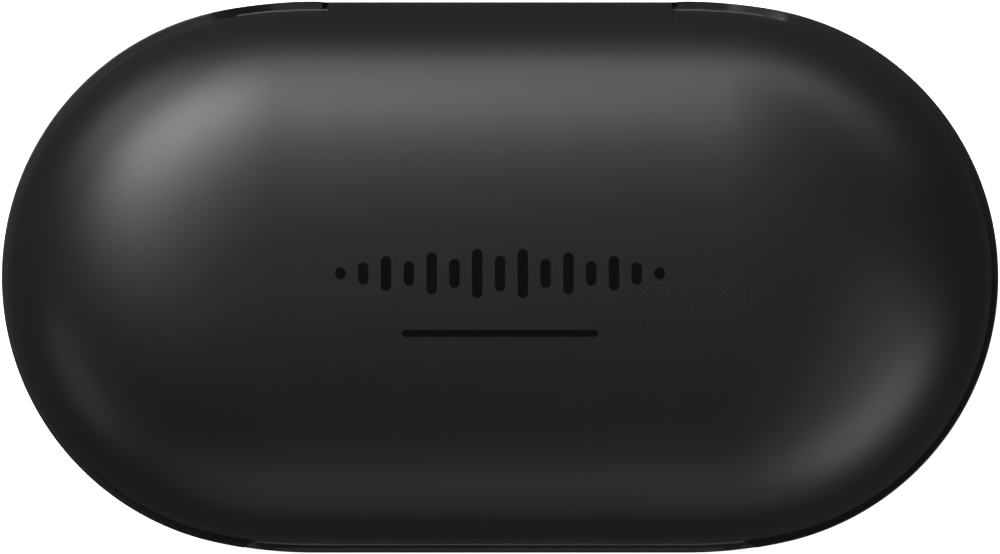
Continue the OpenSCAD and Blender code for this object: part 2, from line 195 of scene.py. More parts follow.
# Lid liner.
LINER_OPEN_R = 14.8
LINER_OPEN_H = 8.2
LINER_POWER = 3.0
LINER_R = 17.3
LINER_T = 0.9
LINER_CORNER = 0.1
FLANGE_T = 1.0
LIP = 0.5

# Generic mark: a row of level bars over a thin line.
BAR_HEIGHTS = [0.42, 0.75, 1.2, 0.85, 1.45, 1.0, 1.7, 1.25, 1.7, 1.0, 1.45, 0.85, 1.2, 0.75, 0.42]
BAR_PITCH = 1.58
BAR_HALF_W = 0.36
BAR_Y = 0.25
LINE_HALF_W = 6.8
LINE_HALF_H = 0.24
LINE_Y = -3.9
PRINT_LIFT = 0.012
PRINT_SINK = 0.01

# Mesh fineness.
CRISP = math.radians(35)
MERGE_M = 2e-7
EDGE_GAP = 0.01
ON_EDGE = 1e-6
SPINE_STEPS = 31
TURN_STEPS = 96
CROWN_STEPS = 72
LID_INNER_STEPS = 30
BASE_INNER_STEPS = 26
LINER_STEPS = 40
FOOT_STEPS = 40


# ---- Shape helpers ------------------------------------------------------------------------

def smooth(t):
    """Smooth step from 0 to 1."""
    t = min(1.0, max(0.0, t))
    return t * t * (3 - 2 * t)


def at(x, y, z):
    """A place given in millimetres, in metres."""
    return x * MM, y * MM, z * MM


def superellipse(r, h, power, reach, steps):
    """(half-width, height) points from the widest place up to the height reach."""
    last = math.asin(min(1.0, (reach / h) ** (power / 2)))
    points = []
    for i in range(steps + 1):
        t = last * i / steps
        points.append((r * max(0.0, math.cos(t)) ** (2 / power), h * math.sin(t) ** (2 / power)))
    return points


def straight_pull(x):
    """How far the outline lies inside the stadium's straight side at x."""
    beyond = max(0.0, abs(x) - SHOULDER_X)
    return SHOULDER_R - math.sqrt(SHOULDER_R ** 2 - beyond ** 2)


def round_pull(angle):
    """How far the outline lies inside the stadium's round end in the direction angle."""
    c = abs(math.cos(angle))
    s = abs(math.sin(angle))
    if s > TIP_ARC_SINE:
        dx = SPINE - SHOULDER_X
        dy = SHOULDER_R - HALF_DEPTH
        b = dx * c + dy * s
        return HALF_DEPTH + b - math.sqrt(b * b - dx * dx - dy * dy + SHOULDER_R ** 2)
    dx = HALF_LENGTH - TIP_R - SPINE
    return HALF_DEPTH - dx * c - math.sqrt(TIP_R ** 2 - (dx * s) ** 2)


def pulled(w, pull):
    """Distance w from the spine after the outline's pull, which fades out inwards."""
    return w - pull * (w / HALF_DEPTH) ** PULL_POWER


def columns(spine):
    """Places round the outline as (anchor x, direction, pull), closer together at crisp edges."""
    crisp = [x + side * EDGE_GAP for x in (BARREL_HALF, EAR_X, NOTCH_HALF) for side in (-1, 1)]
    spread = [spine * i / SPINE_STEPS for i in range(1 - SPINE_STEPS, SPINE_STEPS)]
    xs = sorted(crisp + [-x for x in crisp] + spread)
    xs = [x for i, x in enumerate(xs) if i == 0 or x - xs[i - 1] > EDGE_GAP]
    fine = [0.5 * i for i in range(40)]
    turns = fine + [20 + 1.25 * i for i in range(113)] + [180 - t for t in reversed(fine)]
    right = [math.radians(t - 90) for t in turns]
    left = [math.radians(t + 90) for t in turns]
    places = [(spine, a, round_pull(a)) for a in right]
    places += [(x, math.pi / 2, straight_pull(x)) for x in reversed(xs)]
    places += [(-spine, a, round_pull(a)) for a in left]
    places += [(x, -math.pi / 2, straight_pull(x)) for x in xs]
    return places


def is_back(angle):
    """Whether a direction points straight back, as it does all along the back's straight side."""
    return abs(angle - math.pi / 2) < ON_EDGE


def add_object(name, data):
    thing = bpy.data.objects.new(name, data)
    bpy.context.scene.collection.objects.link(thing)
    return thing


def new_mesh(name, vertices, faces, slots=None):
    """A closed, merged mesh object with smooth faces and crisp edges."""
    mesh = bpy.data.meshes.new(name)
    mesh.from_pydata(vertices, [], faces)
    if slots:
        mesh.polygons.foreach_set("material_index", slots)
    bm = bmesh.new()
    bm.from_mesh(mesh)
    bmesh.ops.remove_doubles(bm, verts=bm.verts, dist=MERGE_M)
    bmesh.ops.dissolve_degenerate(bm, edges=bm.edges, dist=MERGE_M)
    bmesh.ops.recalc_face_normals(bm, faces=bm.faces)
    bm.to_mesh(mesh)
    bm.free()
    mesh.shade_smooth()
    mesh.set_sharp_from_angle(angle=CRISP)
    return add_object(name, mesh)


def loft(name, spine, centre_y, profile, closed=False, slot_of=None):
    """Sweeps profile(place) -> [(w, z, dy), ...] round the outline into one closed mesh.

    An open profile starts and ends at w = 0. slot_of(place, step) gives a face's material slot.
    """
    places = columns(spine)
    vertices = []
    for place in places:
        x, angle, pull = place
        loop = profile(place)
        for w, z, dy in loop:
            reach = pulled(w, pull)
            vertices.append(at(x + math.cos(angle) * reach, centre_y + math.sin(angle) * reach + dy, z))
    count = len(loop)
    faces = []
    slots = []
    for j, place in enumerate(places):
        near = j * count
        far = ((j + 1) % len(places)) * count
        for i in range(count if closed else count - 1):
            k = (i + 1) % count
            faces.append((near + i, far + i, far + k, near + k))
            slots.append(slot_of(place, i) if slot_of else 0)
    return new_mesh(name, vertices, faces, slots)


def carve(piece, cutter):
    """Cuts cutter out of piece and deletes cutter."""
    cut = piece.modifiers.new("cut", "BOOLEAN")
    cut.operation = "DIFFERENCE"
    cut.solver = "EXACT"
    cut.object = cutter
    bpy.context.view_layer.update()
    graph = bpy.context.evaluated_depsgraph_get()
    mesh = bpy.data.meshes.new_from_object(piece.evaluated_get(graph))
    piece.modifiers.clear()
    piece.data = mesh
    piece.data.set_sharp_from_angle(angle=CRISP)
    bpy.data.objects.remove(cutter)


# ---- Lid shell ----------------------------------------------------------------------------

def lid_outer():
    """The crown from the ridge down to just above the bead."""
    points = superellipse(LID_CROWN_R, LID_H, LID_POWER, LID_H, CROWN_STEPS)
    points = [(w, LID_Z + z) for w, z in reversed(points) if z > CROWN_FOOT]
    points[0] = (0.0, LID_TOP)
    return points


def lid_inner():
    """The inside of the crown from the edge up to the ridge."""
    h = LID_H - WALL
    points = superellipse(LID_CROWN_R - WALL, h, LID_POWER, h, LID_INNER_STEPS)
    points = [(w, LID_Z + z) for w, z in points]
    points[-1] = (0.0, points[-1][1])
    return points


def bead_points():
    """The rounded bead round the lid's lower edge, then the flat underside."""
    section = BEAD_SECTION + [(out, 0.0) for out in UNDERSIDE]
    return [(LID_CROWN_R + out, LID_Z + up) for out, up in section]


def barrel_points():
    """Path down the hinge tongue and round the barrel, with as many points as bead_points."""
    path = [(TONGUE_Y, HINGE_Z + up) for up in (0.9, 0.45, 0.0)]
    for turn in range(18, 181, 18):
        a = math.radians(-turn)
        path.append((HINGE_Y + BARREL_R * math.cos(a), HINGE_Z + BARREL_R * math.sin(a)))
    path.append((HINGE_Y + 1 - BARREL_R, LID_Z + 0.3))
    return [(y - LID_Y, z) for y, z in path]


LID_OUTER = lid_outer()
LID_INNER = lid_inner()
BEAD_POINTS = bead_points()
BARREL_POINTS = barrel_points()


def tongue_bulge(w, z):
    """How far the lid's back stands out over the hinge at distance w and height z."""
    full = TONGUE_Y - LID_Y - LID_CROWN_R
    outwards = smooth((w - TONGUE_FADE_W) / TONGUE_FADE_W)
    return full * outwards * smooth((LID_Z + TONGUE_TOP - z) / TONGUE_EASE)


def over_barrel(x, angle):
    return is_back(angle) and abs(x) < BARREL_HALF


def lid_profile(place):
    """Section of the lid: plain, over the hinge barrel, or cut short above a hinge ear."""
    x, angle, _ = place
    outer, edge, inner = LID_OUTER, BEAD_POINTS, LID_INNER
    if over_barrel(x, angle):
        limit = TONGUE_Y - LID_Y
        outer = [(min(limit, w + tongue_bulge(w, z)), z) for w, z in LID_OUTER]
        edge = BARREL_POINTS
    elif is_back(angle) and abs(x) < NOTCH_HALF:
        lift = HINGE_Z + EAR_R + NOTCH_GAP - LID_Z
        outer = [(w, max(z, LID_Z + lift + BEAD_H)) for w, z in LID_OUTER]
        edge = [(w, z + lift) for w, z in BEAD_POINTS]
        inner = [(w, max(z, LID_Z + lift)) for w, z in LID_INNER]
    return [(w, z, 0.0) for w, z in outer + edge + inner]


def lid_slot(place, step):
    """Slot 1, the lighter material that paints a highlight line along the lid's edge, on the faces of the bead,
    and slot 0 elsewhere.
    """
    x, angle, _ = place
    first = len(LID_OUTER) - 1
    on_bead = first <= step < first + len(BEAD_SECTION) - 1
    return int(on_bead and not over_barrel(x, angle))


def make_lid():
    """The lid's outer shell with its bead, hinge tongue and barrel."""
    lid = loft("lid_outer_shell", LID_SPINE, LID_Y, lid_profile, slot_of=lid_slot)
    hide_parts("lid_shell")
    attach(lid, "lid")
    return lid


# ---- Base shell ---------------------------------------------------------------------------

def rim_points():
    """The flat rim from the inner edge outwards, with its outer edge rounded over."""
    flat_edge = HALF_DEPTH - RIM_ROUND
    points = [(INNER_EDGE + (flat_edge - INNER_EDGE) * i / 8, RIM_Z) for i in range(9)]
    for turn in range(15, 91, 15):
        a = math.radians(turn)
        points.append((flat_edge + RIM_ROUND * math.sin(a), RIM_Z - RIM_ROUND * (1 - math.cos(a))))
    return points


def side_points():
    """The outer side from its widest level down, with the closest points near the rim."""
    drops = [0.1 * i for i in range(1, 28)] + [2.7 + 0.25 * i for i in range(1, 40)]
    points = [(HALF_DEPTH, CROWN_Z)]
    for drop in drops:
        if drop < BASE_H - FOOT_TURN:
            w = HALF_DEPTH * (1 - (drop / BASE_H) ** BASE_POWER) ** (1 / BASE_POWER)
            points.append((w, CROWN_Z - drop))
    return points


def foot_points(start_w):
    """The underside from start_w inwards, eased into the flat that the case stands on."""
    points = []
    for i in range(1, FOOT_STEPS + 1):
        w = start_w * (1 - i / FOOT_STEPS)
        z = CROWN_Z - BASE_H * (1 - (w / HALF_DEPTH) ** BASE_POWER) ** (1 / BASE_POWER)
        points.append((w, 0.5 * (z + math.sqrt(z * z + FOOT_EASE))))
    return points


def base_loop():
    """Rim, outer side, underside, then floor and inner wall, as one loop from rim to rim."""
    loop = rim_points() + side_points()
    loop += foot_points(loop[-1][0])
    loop.append((0.0, FLOOR_Z))
    inner = superellipse(INNER_EDGE, BASE_H - WALL, BASE_POWER, CROWN_Z - FLOOR_Z, BASE_INNER_STEPS)
    loop += [(w, CROWN_Z - z) for w, z in reversed(inner)]
    return loop


BASE_LOOP = base_loop()


def rim_limit(x, y):
    """Greatest height of the base at a place near its back edge."""
    ramp = REBATE_Z + (RIM_Z - REBATE_Z) * smooth((abs(x) - REBATE_X) / REBATE_RAMP)
    limit = RIM_Z + (ramp - RIM_Z) * smooth((y - REBATE_Y + REBATE_STEP / 2) / REBATE_STEP)
    if abs(x) < EAR_X:
        dy = y - HINGE_Y
        if -SEAT_R < dy < 0:
            limit = min(limit, HINGE_Z - math.sqrt(SEAT_R ** 2 - dy * dy))
        if dy >= 0:
            limit = min(limit, HINGE_Z - SEAT_R)
        if abs(x) > BARREL_HALF and POCKET_START < dy < TONGUE_Y - HINGE_Y - POCKET_WALL:
            limit = POCKET_Z
    return limit


def back_limit(x):
    """Greatest y of the base at its back, which is flat between the hinge ears."""
    inside = smooth((EAR_X + BACK_FLAT_PAST - abs(x)) / BACK_FLAT_EASE)
    return HALF_DEPTH + inside * (BACK_FLAT_Y - HALF_DEPTH)


def scoop_reach(x, y, z):
    """How far to the front the base reaches at a place that reaches y without the scoop."""
    drop = RIM_Z - SCOOP_DROP - z
    cut = SCOOP_BACK
    if drop > 0:
        turn = max(0.0, 1 - drop / SCOOP_ROUND)
        cut = HALF_DEPTH - SCOOP_ROUND * (1 - math.sqrt(1 - turn * turn))
    half = SCOOP_HALF - (y - SCOOP_BACK) * SCOOP_TAPER
    amount = min(1.0, max(0.0, (half - abs(x)) / SCOOP_END))
    return y + amount * (min(y, cut) - y)


def base_profile(place):
    """Section of the base, with the hinge rebate at the back and the finger scoop in front."""
    x, angle, pull = place
    loop = []
    for w, z in BASE_LOOP:
        reach = pulled(w, pull)
        px = x + math.cos(angle) * reach
        py = math.sin(angle) * reach
        dy = 0.0
        in_wall = z > WALL_LOW_Z and w > INNER_EDGE - ON_EDGE
        if in_wall and py > WALL_END_Y:
            z = min(z, rim_limit(px, py))
            dy = min(0.0, back_limit(px) - py)
        if in_wall and py < -WALL_END_Y and w > INNER_EDGE + SCOOP_INSET:
            dy = -scoop_reach(px, -py, z) - py
        loop.append((w, z, dy))
    return loop


def slot_plug(name, half_w, r, z, out_y, flare, side):
    """A slot-shaped plug along Y, at the back for side 1 or in front for -1, with a flared end."""
    rings = [(PLUG_IN_Y, 0.0), (out_y - FLARE_DEPTH, 0.0), (out_y, flare)]
    steps = 16
    vertices = []
    for y, grow in rings:
        for end in (1, -1):
            for i in range(steps + 1):
                a = math.radians(-90 + 180 * i / steps) + (math.pi if end < 0 else 0)
                px = end * (half_w - r) + (r + grow) * math.cos(a)
                vertices.append(at(px, side * y, z + (r + grow) * math.sin(a)))
    n = 2 * (steps + 1)
    faces = [tuple(range(n)), tuple(range(2 * n, 3 * n))]
    for k in range(2):
        for i in range(n):
            j = (i + 1) % n
            faces.append((k * n + i, k * n + j, (k + 1) * n + j, (k + 1) * n + i))
    return new_mesh(name, vertices, faces)


def make_base():
    """The base's outer shell with its scoop, hinge rebate, port and lamp hole."""
    base = loft("base_outer_shell", SPINE, 0.0, base_profile, closed=True)
    carve(base, slot_plug("port_cutter", PORT_HALF_W, PORT_R, PORT_Z, PORT_OUT_Y, PORT_FLARE, 1))
    carve(base, slot_plug("lamp_cutter", LAMP_HALF_W, LAMP_R, LAMP_Z, LAMP_OUT_Y, LAMP_FLARE, -1))
    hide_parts("base_shell")
    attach(base, "base")
    return base


def ear_point(angle, grow):
    """(y, z) on a hinge ear's outline: round at the top, with a foot below the pin."""
    r = EAR_SHOWN_R + grow
    y = HINGE_Y + r * math.cos(angle)
    z = HINGE_Z + r * math.sin(angle)
    if math.sin(angle) < EAR_FOOT_SINE:
        y = min(y, HINGE_Y + EAR_FOOT_Y)
        z = max(HINGE_Z - EAR_FOOT_DROP, HINGE_Z + EAR_FOOT_STRETCH * r * math.sin(angle))
    return y, z


def make_ear(side):
    """One hinge ear: a ring round the pin with a foot that runs into the rim."""
    near = side * EAR_X
    far = side * (EAR_X + EAR_W)
    edge = side * EAR_EDGE
    outlines = [(near, -EAR_EDGE), (near + edge, 0.0), (far - edge, 0.0), (far, -EAR_EDGE)]
    turns = [2 * math.pi * i / EAR_STEPS for i in range(EAR_STEPS)]
    vertices = [at(x, *ear_point(a, grow)) for x, grow in outlines for a in turns]
    hole = len(vertices)
    for x in (near, far):
        for a in turns:
            vertices.append(at(x, HINGE_Y + PIN_HOLE_R * math.cos(a), HINGE_Z + PIN_HOLE_R * math.sin(a)))
    last = (len(outlines) - 1) * EAR_STEPS
    far_hole = hole + EAR_STEPS
    faces = []
    for i in range(EAR_STEPS):
        j = (i + 1) % EAR_STEPS
        for k in range(0, last, EAR_STEPS):
            faces.append((k + i, k + j, k + EAR_STEPS + j, k + EAR_STEPS + i))
        faces.append((i, j, hole + j, hole + i))
        faces.append((last + i, last + j, far_hole + j, far_hole + i))
        faces.append((hole + i, hole + j, far_hole + j, far_hole + i))
    ear = new_mesh("hinge_ear_right" if side > 0 else "hinge_ear_left", vertices, faces)
    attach(ear, "base")
    return ear


# ---- Inside -------------------------------------------------------------------------------

def revolved(vertices, faces, profile, centre):
    """Adds a closed solid of revolution about Z to vertices and faces."""
    first = len(vertices)
    count = len(profile)
    for i in range(TURN_STEPS):
        a = 2 * math.pi * i / TURN_STEPS
        for r, z in profile:
            vertices.append(at(centre[0] + r * math.cos(a), centre[1] + r * math.sin(a), z))
    for i in range(TURN_STEPS):
        near = first + i * count
        far = first + (i + 1) % TURN_STEPS * count
        for k in range(count - 1):
            faces.append((near + k, far + k, far + k + 1, near + k + 1))


def flare(r, z_low, z_high, grow):
    """Section of a cutter that rounds the edge of a round hole over to a wider one."""
    top = z_high + CUTTER_ABOVE
    curve = [(r + grow * (1 - math.cos(math.radians(t))),
              z_low + (z_high - z_low) * math.sin(math.radians(t))) for t in range(0, 91, 10)]
    return [(0.0, z_low), (r - CUTTER_INSET, z_low)] + curve + [(r + grow, top), (0.0, top)]


def make_deck():
    """The cradle deck with the edges of its bowls, tip pockets and lamp hole rounded over."""
    deck = add_object("cradle_deck_finished", frame["nodes"]["cradle_deck"].data.copy())
    bowl = flare(CRADLE_R - CUTTER_INSET, DECK_TOP - BOWL_EDGE_H, DECK_TOP, BOWL_EDGE_W)
    tip_pocket = flare(TIP_POCKET_R, TIP_EDGE_LOW, TIP_EDGE_TOP, TIP_EDGE_W)
    lamp = flare(INNER_LAMP_R, DECK_TOP - INNER_LAMP_EDGE, DECK_TOP, INNER_LAMP_EDGE)
    vertices, faces = [], []
    for x in (-CRADLE_X, CRADLE_X):
        revolved(vertices, faces, bowl, (x, 0))
        revolved(vertices, faces, tip_pocket, (x, TIP_POCKET_Y))
    revolved(vertices, faces, lamp, (0, INNER_LAMP_Y))
    carve(deck, new_mesh("deck_edge_cutter", vertices, faces))
    for face in deck.data.polygons:
        face.use_smooth = face.normal.z < FLAT_NORMAL
    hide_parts("cradle_deck")
    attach(deck, "base")
    return deck


def liner_loop():
    """Section of the liner: hollow, rounded lip, flange, and back over the outside of the hollow."""
    hollow = superellipse(LINER_OPEN_R, LINER_OPEN_H, LINER_POWER, LINER_OPEN_H, LINER_STEPS)
    hollow[-1] = (0.0, LINER_OPEN_H)
    loop = [(w, LID_Z + z) for w, z in reversed(hollow) if z > LIP]
    for i in range(9):
        a = math.radians(90 * i / 8)
        loop.append((LINER_OPEN_R + LIP * (1 - math.cos(a)), LID_Z + LIP * (1 - math.sin(a))))
    lip_end = LINER_OPEN_R + LIP
    flange = LINER_R - LINER_CORNER - lip_end
    loop += [(lip_end + flange * i / 4, LID_Z) for i in range(1, 5)]
    loop += [(LINER_R, LID_Z + LINER_CORNER), (LINER_R, LID_Z + FLANGE_T)]
    skin_h = LINER_OPEN_H + LINER_T
    skin = superellipse(LINER_OPEN_R + LINER_T, skin_h, LINER_POWER, skin_h, LINER_STEPS)
    skin[-1] = (0.0, skin_h)
    loop += [(w, LID_Z + z) for w, z in skin if z > FLANGE_T]
    return loop


LINER_LOOP = liner_loop()


def liner_profile(place):
    """Section of the liner, hollowed at the back for the hinge barrel."""
    _, angle, _ = place
    loop = []
    for w, z in LINER_LOOP:
        dy = w + LID_Y - HINGE_Y
        if is_back(angle) and abs(dy) < BARREL_ROOM and z < HINGE_Z + ROOM_TOP:
            z = max(z, HINGE_Z + math.sqrt(BARREL_ROOM ** 2 - dy * dy))
        loop.append((w, z, 0.0))
    return loop


def make_liner():
    """The liner inside the lid, with a rounded lip."""
    liner = loft("lid_liner_finished", LID_SPINE, LID_Y, liner_profile)
    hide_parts("lid_liner")
    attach(liner, "lid")
    return liner


def make_spring(place):
    """A charging pin's spring, copied from its CAD node and attached to the base."""
    node = f"pogo_spring_{place}"
    spring = add_object(f"pin_spring_{place}", frame["nodes"][node].data.copy())
    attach(spring, "base")
    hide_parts(node)
    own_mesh(spring)


# ---- Generic mark on the lid --------------------------------------------------------------

def crown_height(y):
    """Height of the lid's crown over its straight middle."""
    w = abs(y - LID_Y) / LID_CROWN_R
    return LID_Z + LID_H * (1 - w ** LID_POWER) ** (1 / LID_POWER)


def print_bar(vertices, faces, x, y, half_w, half_h):
    """Adds one bar with round ends, printed on the crown, as a thin closed skin."""
    r = min(half_w, half_h)
    w, h = half_w - r, half_h - r
    outline = []
    for quarter, (cx, cy) in enumerate([(w, h), (-w, h), (-w, -h), (w, -h)]):
        for i in range(9):
            a = math.radians(90 * quarter + 90 * i / 8)
            outline.append((x + cx + r * math.cos(a), y + cy + r * math.sin(a)))
    n = len(outline)
    first = len(vertices)
    for offset in (-PRINT_SINK, PRINT_LIFT):
        vertices += [at(px, py, crown_height(py) + offset) for px, py in outline]
    vertices += [at(x, y, crown_height(y) + offset) for offset in (PRINT_LIFT, -PRINT_SINK)]
    top_centre = first + 2 * n
    for i in range(n):
        low, next_low = first + i, first + (i + 1) % n
        faces.append((low, next_low, next_low + n, low + n))
        faces.append((low + n, next_low + n, top_centre))
        faces.append((next_low, low, top_centre + 1))


def make_mark():
    """A plain row of level bars over a thin line, in gloss black print."""
    vertices, faces = [], []
    centre = (len(BAR_HEIGHTS) - 1) / 2
    for i, half_h in enumerate(BAR_HEIGHTS):
        print_bar(vertices, faces, (i - centre) * BAR_PITCH, BAR_Y, BAR_HALF_W, half_h)
    print_bar(vertices, faces, 0, LINE_Y, LINE_HALF_W, LINE_HALF_H)
    mark = new_mesh("lid_level_mark", vertices, faces)
    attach(mark, "lid")
    return mark


# ---- Materials ----------------------------------------------------------------------------

# Sockets of a Mix node in colour mode, whose names repeat.
MIX_FACTOR = 0
MIX_A = 6
MIX_B = 7
MIX_RESULT = 2


class Nodes:
    """A material's node tree, with short calls to add and join nodes."""

    def __init__(self, name):
        self.material = bpy.data.materials.new(name)
        self.material.use_nodes = True
        self.tree = self.material.node_tree
        self.shader = self.tree.nodes["Principled BSDF"]
        self.place = self.add("ShaderNodeTexCoord").outputs["Object"]

    def add(self, kind, **settings):
        """A new node, with its properties or inputs set by name."""
        node = self.tree.nodes.new(kind)
        for key, value in settings.items():
            if hasattr(node, key):
                setattr(node, key, value)
            else:
                node.inputs[key].default_value = value
        return node

    def join(self, source, target):
        self.tree.links.new(source, target)

    def noise(self, scale_mm, detail, place=None):
        node = self.add("ShaderNodeTexNoise", Scale=1 / (scale_mm * MM), Detail=detail)
        self.join(place or self.place, node.inputs["Vector"])
        return node.outputs["Fac"]

    def span(self, value, low, high, start=0.3, end=0.7):
        """Maps value from start..end to low..high."""
        node = self.add("ShaderNodeMapRange")
        for key, number in (("From Min", start), ("From Max", end), ("To Min", low), ("To Max", high)):
            node.inputs[key].default_value = number
        self.join(value, node.inputs["Value"])
        return node.outputs["Result"]

    def tint(self, value, dark, light):
        """Base colour that runs from dark to light with value."""
        node = self.add("ShaderNodeMix", data_type="RGBA")
        node.inputs[MIX_A].default_value = (*dark, 1)
        node.inputs[MIX_B].default_value = (*light, 1)
        self.join(value, node.inputs[MIX_FACTOR])
        self.join(node.outputs[MIX_RESULT], self.shader.inputs["Base Color"])

    def roughen(self, value, low, high):
        """Roughness that runs from low to high with value."""
        self.join(self.span(value, low, high), self.shader.inputs["Roughness"])

    def bump(self, value, depth_mm, strength=1.0, after=None):
        """Surface relief from value, on top of the bump node after."""
        node = self.add("ShaderNodeBump", Strength=strength, Distance=depth_mm * MM)
        self.join(value, node.inputs["Height"])
        if after is not None:
            self.join(after.outputs["Normal"], node.inputs["Normal"])
        self.join(node.outputs["Normal"], self.shader.inputs["Normal"])
        return node

    def set(self, **values):
        """Sets the shader's own sockets."""
        for key, value in values.items():
            self.shader.inputs[key.replace("_", " ")].default_value = value


def scaled(colour, factor):
    return tuple(c * factor for c in colour)


def grained(name, colour, rough, grain_mm, depth_mm, vary=0.12, metallic=0.0, **more):
    """Moulded or sintered surface: fine grain, soft colour drift and a little roughness drift."""
    n = Nodes(name)
    drift = n.noise(grain_mm * 60, 2.0)
    fine = n.noise(grain_mm, 4.0)
    n.tint(n.span(drift, 0, 1), scaled(colour, 1 - vary), scaled(colour, 1 + vary))
    n.roughen(fine, rough - 0.05, rough + 0.05)
    n.bump(fine, depth_mm)
    n.set(Metallic=metallic, **more)
    return n.material


def brushed(name, colour, rough, along="X"):
    """Drawn or rolled metal with fine lines along one axis."""
    n = Nodes(name)
    stretch = n.add("ShaderNodeMapping")
    stretch.inputs["Scale"].default_value = [0.04 if axis == along else 1 for axis in "XYZ"]
    n.join(n.place, stretch.inputs["Vector"])
    streaks = n.noise(0.06, 5.0, stretch.outputs["Vector"])
    n.tint(n.span(streaks, 0, 1), scaled(colour, 0.82), scaled(colour, 1.08))
    n.roughen(streaks, rough - 0.08, rough + 0.1)
    n.bump(streaks, 0.004, 0.6)
    n.set(Metallic=1.0)
    return n.material


def traced(name, mask, track, rough, width_mm):
    """Circuit film or board: solder mask with faint tracks and pads under it."""
    n = Nodes(name)
    cells = n.add("ShaderNodeTexVoronoi", feature="DISTANCE_TO_EDGE", Scale=1 / (width_mm * MM))
    n.join(n.place, cells.inputs["Vector"])
    edge = n.span(cells.outputs["Distance"], 1, 0, 0.03, 0.08)
    n.tint(edge, mask, track)
    fine = n.noise(0.3, 2.0)
    n.roughen(fine, rough - 0.06, rough + 0.06)
    n.bump(edge, 0.02, 0.5)
    n.set(Coat_Weight=0.4, Coat_Roughness=0.12)
    return n.material


def wound(name, colour):
    """Enamelled copper wire laid in turns."""
    n = Nodes(name)
    fine = n.noise(0.15, 3.0)
    n.tint(n.span(fine, 0, 1), scaled(colour, 0.75), scaled(colour, 1.1))
    n.roughen(fine, 0.22, 0.36)
    n.bump(fine, 0.01, 0.5)
    n.set(Metallic=1.0, Coat_Weight=0.5, Coat_Roughness=0.1)
    return n.material


def crumpled(name, colour):
    """Aluminium laminate pouch with soft creases."""
    n = Nodes(name)
    creases = n.noise(2.2, 5.0)
    fine = n.noise(0.08, 2.0)
    n.tint(n.span(creases, 0, 1), scaled(colour, 0.85), scaled(colour, 1.12))
    n.roughen(fine, 0.3, 0.42)
    first = n.bump(creases, 0.12, 0.7)
    n.bump(fine, 0.006, 0.5, after=first)
    n.set(Metallic=0.9)
    return n.material


def clear_guide(name, colour):
    """Milky clear light guide."""
    n = Nodes(name)
    haze = n.noise(0.4, 2.0)
    n.tint(n.span(haze, 0, 1), scaled(colour, 0.92), colour)
    n.roughen(haze, 0.12, 0.22)
    n.set(Transmission_Weight=0.6, IOR=1.49)
    return n.material


# Each of the record's material slots: the function that makes it, then that function's values.
SLOT_MATERIALS = {
    "shell_plastic": (grained, (0.0058, 0.006, 0.0066), 0.41, 0.09, 0.0035, 0.06),
    "deck_plastic": (grained, (0.015, 0.0152, 0.0162), 0.38, 0.1, 0.003, 0.06),
    "adhesive": (grained, (0.5, 0.47, 0.38), 0.4, 0.5, 0.02),
    "steel": (brushed, (0.56, 0.56, 0.58), 0.28),
    "magnet": (brushed, (0.66, 0.65, 0.63), 0.2, "Z"),
    "battery_foil": (crumpled, (0.6, 0.62, 0.65)),
    "foam_tape": (grained, (0.03, 0.03, 0.033), 0.85, 0.25, 0.06),
    "lead_sleeve": (grained, (0.42, 0.015, 0.015), 0.35, 0.2, 0.006),
    "plug_plastic": (grained, (0.72, 0.69, 0.6), 0.45, 0.12, 0.006),
    "circuit_board": (traced, (0.004, 0.05, 0.03), (0.012, 0.11, 0.06), 0.3, 1.4),
    "chip_resin": (grained, (0.02, 0.02, 0.022), 0.55, 0.06, 0.006),
    "ferrite": (grained, (0.05, 0.047, 0.046), 0.6, 0.15, 0.012, 0.2),
    "ceramic": (grained, (0.42, 0.3, 0.18), 0.5, 0.08, 0.006),
    "connector_plastic": (grained, (0.012, 0.012, 0.013), 0.48, 0.07, 0.005),
    "gold": (grained, (0.95, 0.66, 0.27), 0.18, 0.12, 0.002, 0.05, 1.0),
    "copper": (wound, (0.72, 0.3, 0.14)),
    "flex_film": (traced, (0.4, 0.16, 0.02), (0.55, 0.27, 0.06), 0.28, 0.9),
    "led": (grained, (0.8, 0.74, 0.4), 0.25, 0.1, 0.003),
    "light_guide": (clear_guide, (0.8, 0.83, 0.86)),
}
MADE = {}


def slot_material(name):
    """The material of one of the record's slots, made once."""
    if name not in MADE:
        build, *values = SLOT_MATERIALS[name]
        MADE[name] = build(name, *values)
    return MADE[name]


def paint(piece, *materials):
    """Fills a piece's material slots in order, and keeps which face uses which slot."""
    own = piece.data.materials
    for i, material in enumerate(materials):
        if i < len(own):
            own[i] = material
        else:
            own.append(material)


def paint_nodes():
    """Gives each CAD node the material of its slot in the record."""
    for part in frame["record"]["subparts"]:
        node = frame["nodes"][part["node"]]
        material = slot_material(part["material_slot"])
        if not node.material_slots:
            node.data.materials.append(material)
        for place in node.material_slots:
            place.material = material


# ---- Stage, lights and camera -------------------------------------------------------------

# Sizes and places in metres, power in watts.
FLOOR_HALF = 3.0
FLOOR_GLOW = 0.85
LIGHT_TARGET = Vector((0, 0, 0.02))
LIGHTS = [
    # name, place, width, height, power
    ("key_softbox", (-0.19, 0.31, 0.355), 0.34, 0.20, 2.5),
    ("left_fill", (-0.21, 0.15, 0.41), 0.20, 0.20, 0.35),
    ("back_left_low", (-0.33, 0.36, 0.10), 0.25, 0.12, 0.3),
    ("left_front", (-0.40, -0.20, 0.13), 0.25, 0.15, 0.12),
    ("back_strip", (0.03, 0.44, 0.22), 0.36, 0.10, 0.5),
    ("back_right", (0.27, 0.36, 0.22), 0.20, 0.12, 0.15),
    ("front_edge", (0.33, -0.30, 0.25), 0.36, 0.20, 0.8),
    ("right_fill", (0.28, -0.10, 0.40), 0.20, 0.20, 0.13),
    ("front_low", (0.0, -0.5, 0.09), 0.5, 0.06, 0.1),
    ("front_strip", (0.0, -0.45, 0.27), 0.5, 0.06, 0.16),
]
SKY = {"From Min": -0.1, "From Max": 1.0, "To Min": 0.05, "To Max": 0.0}
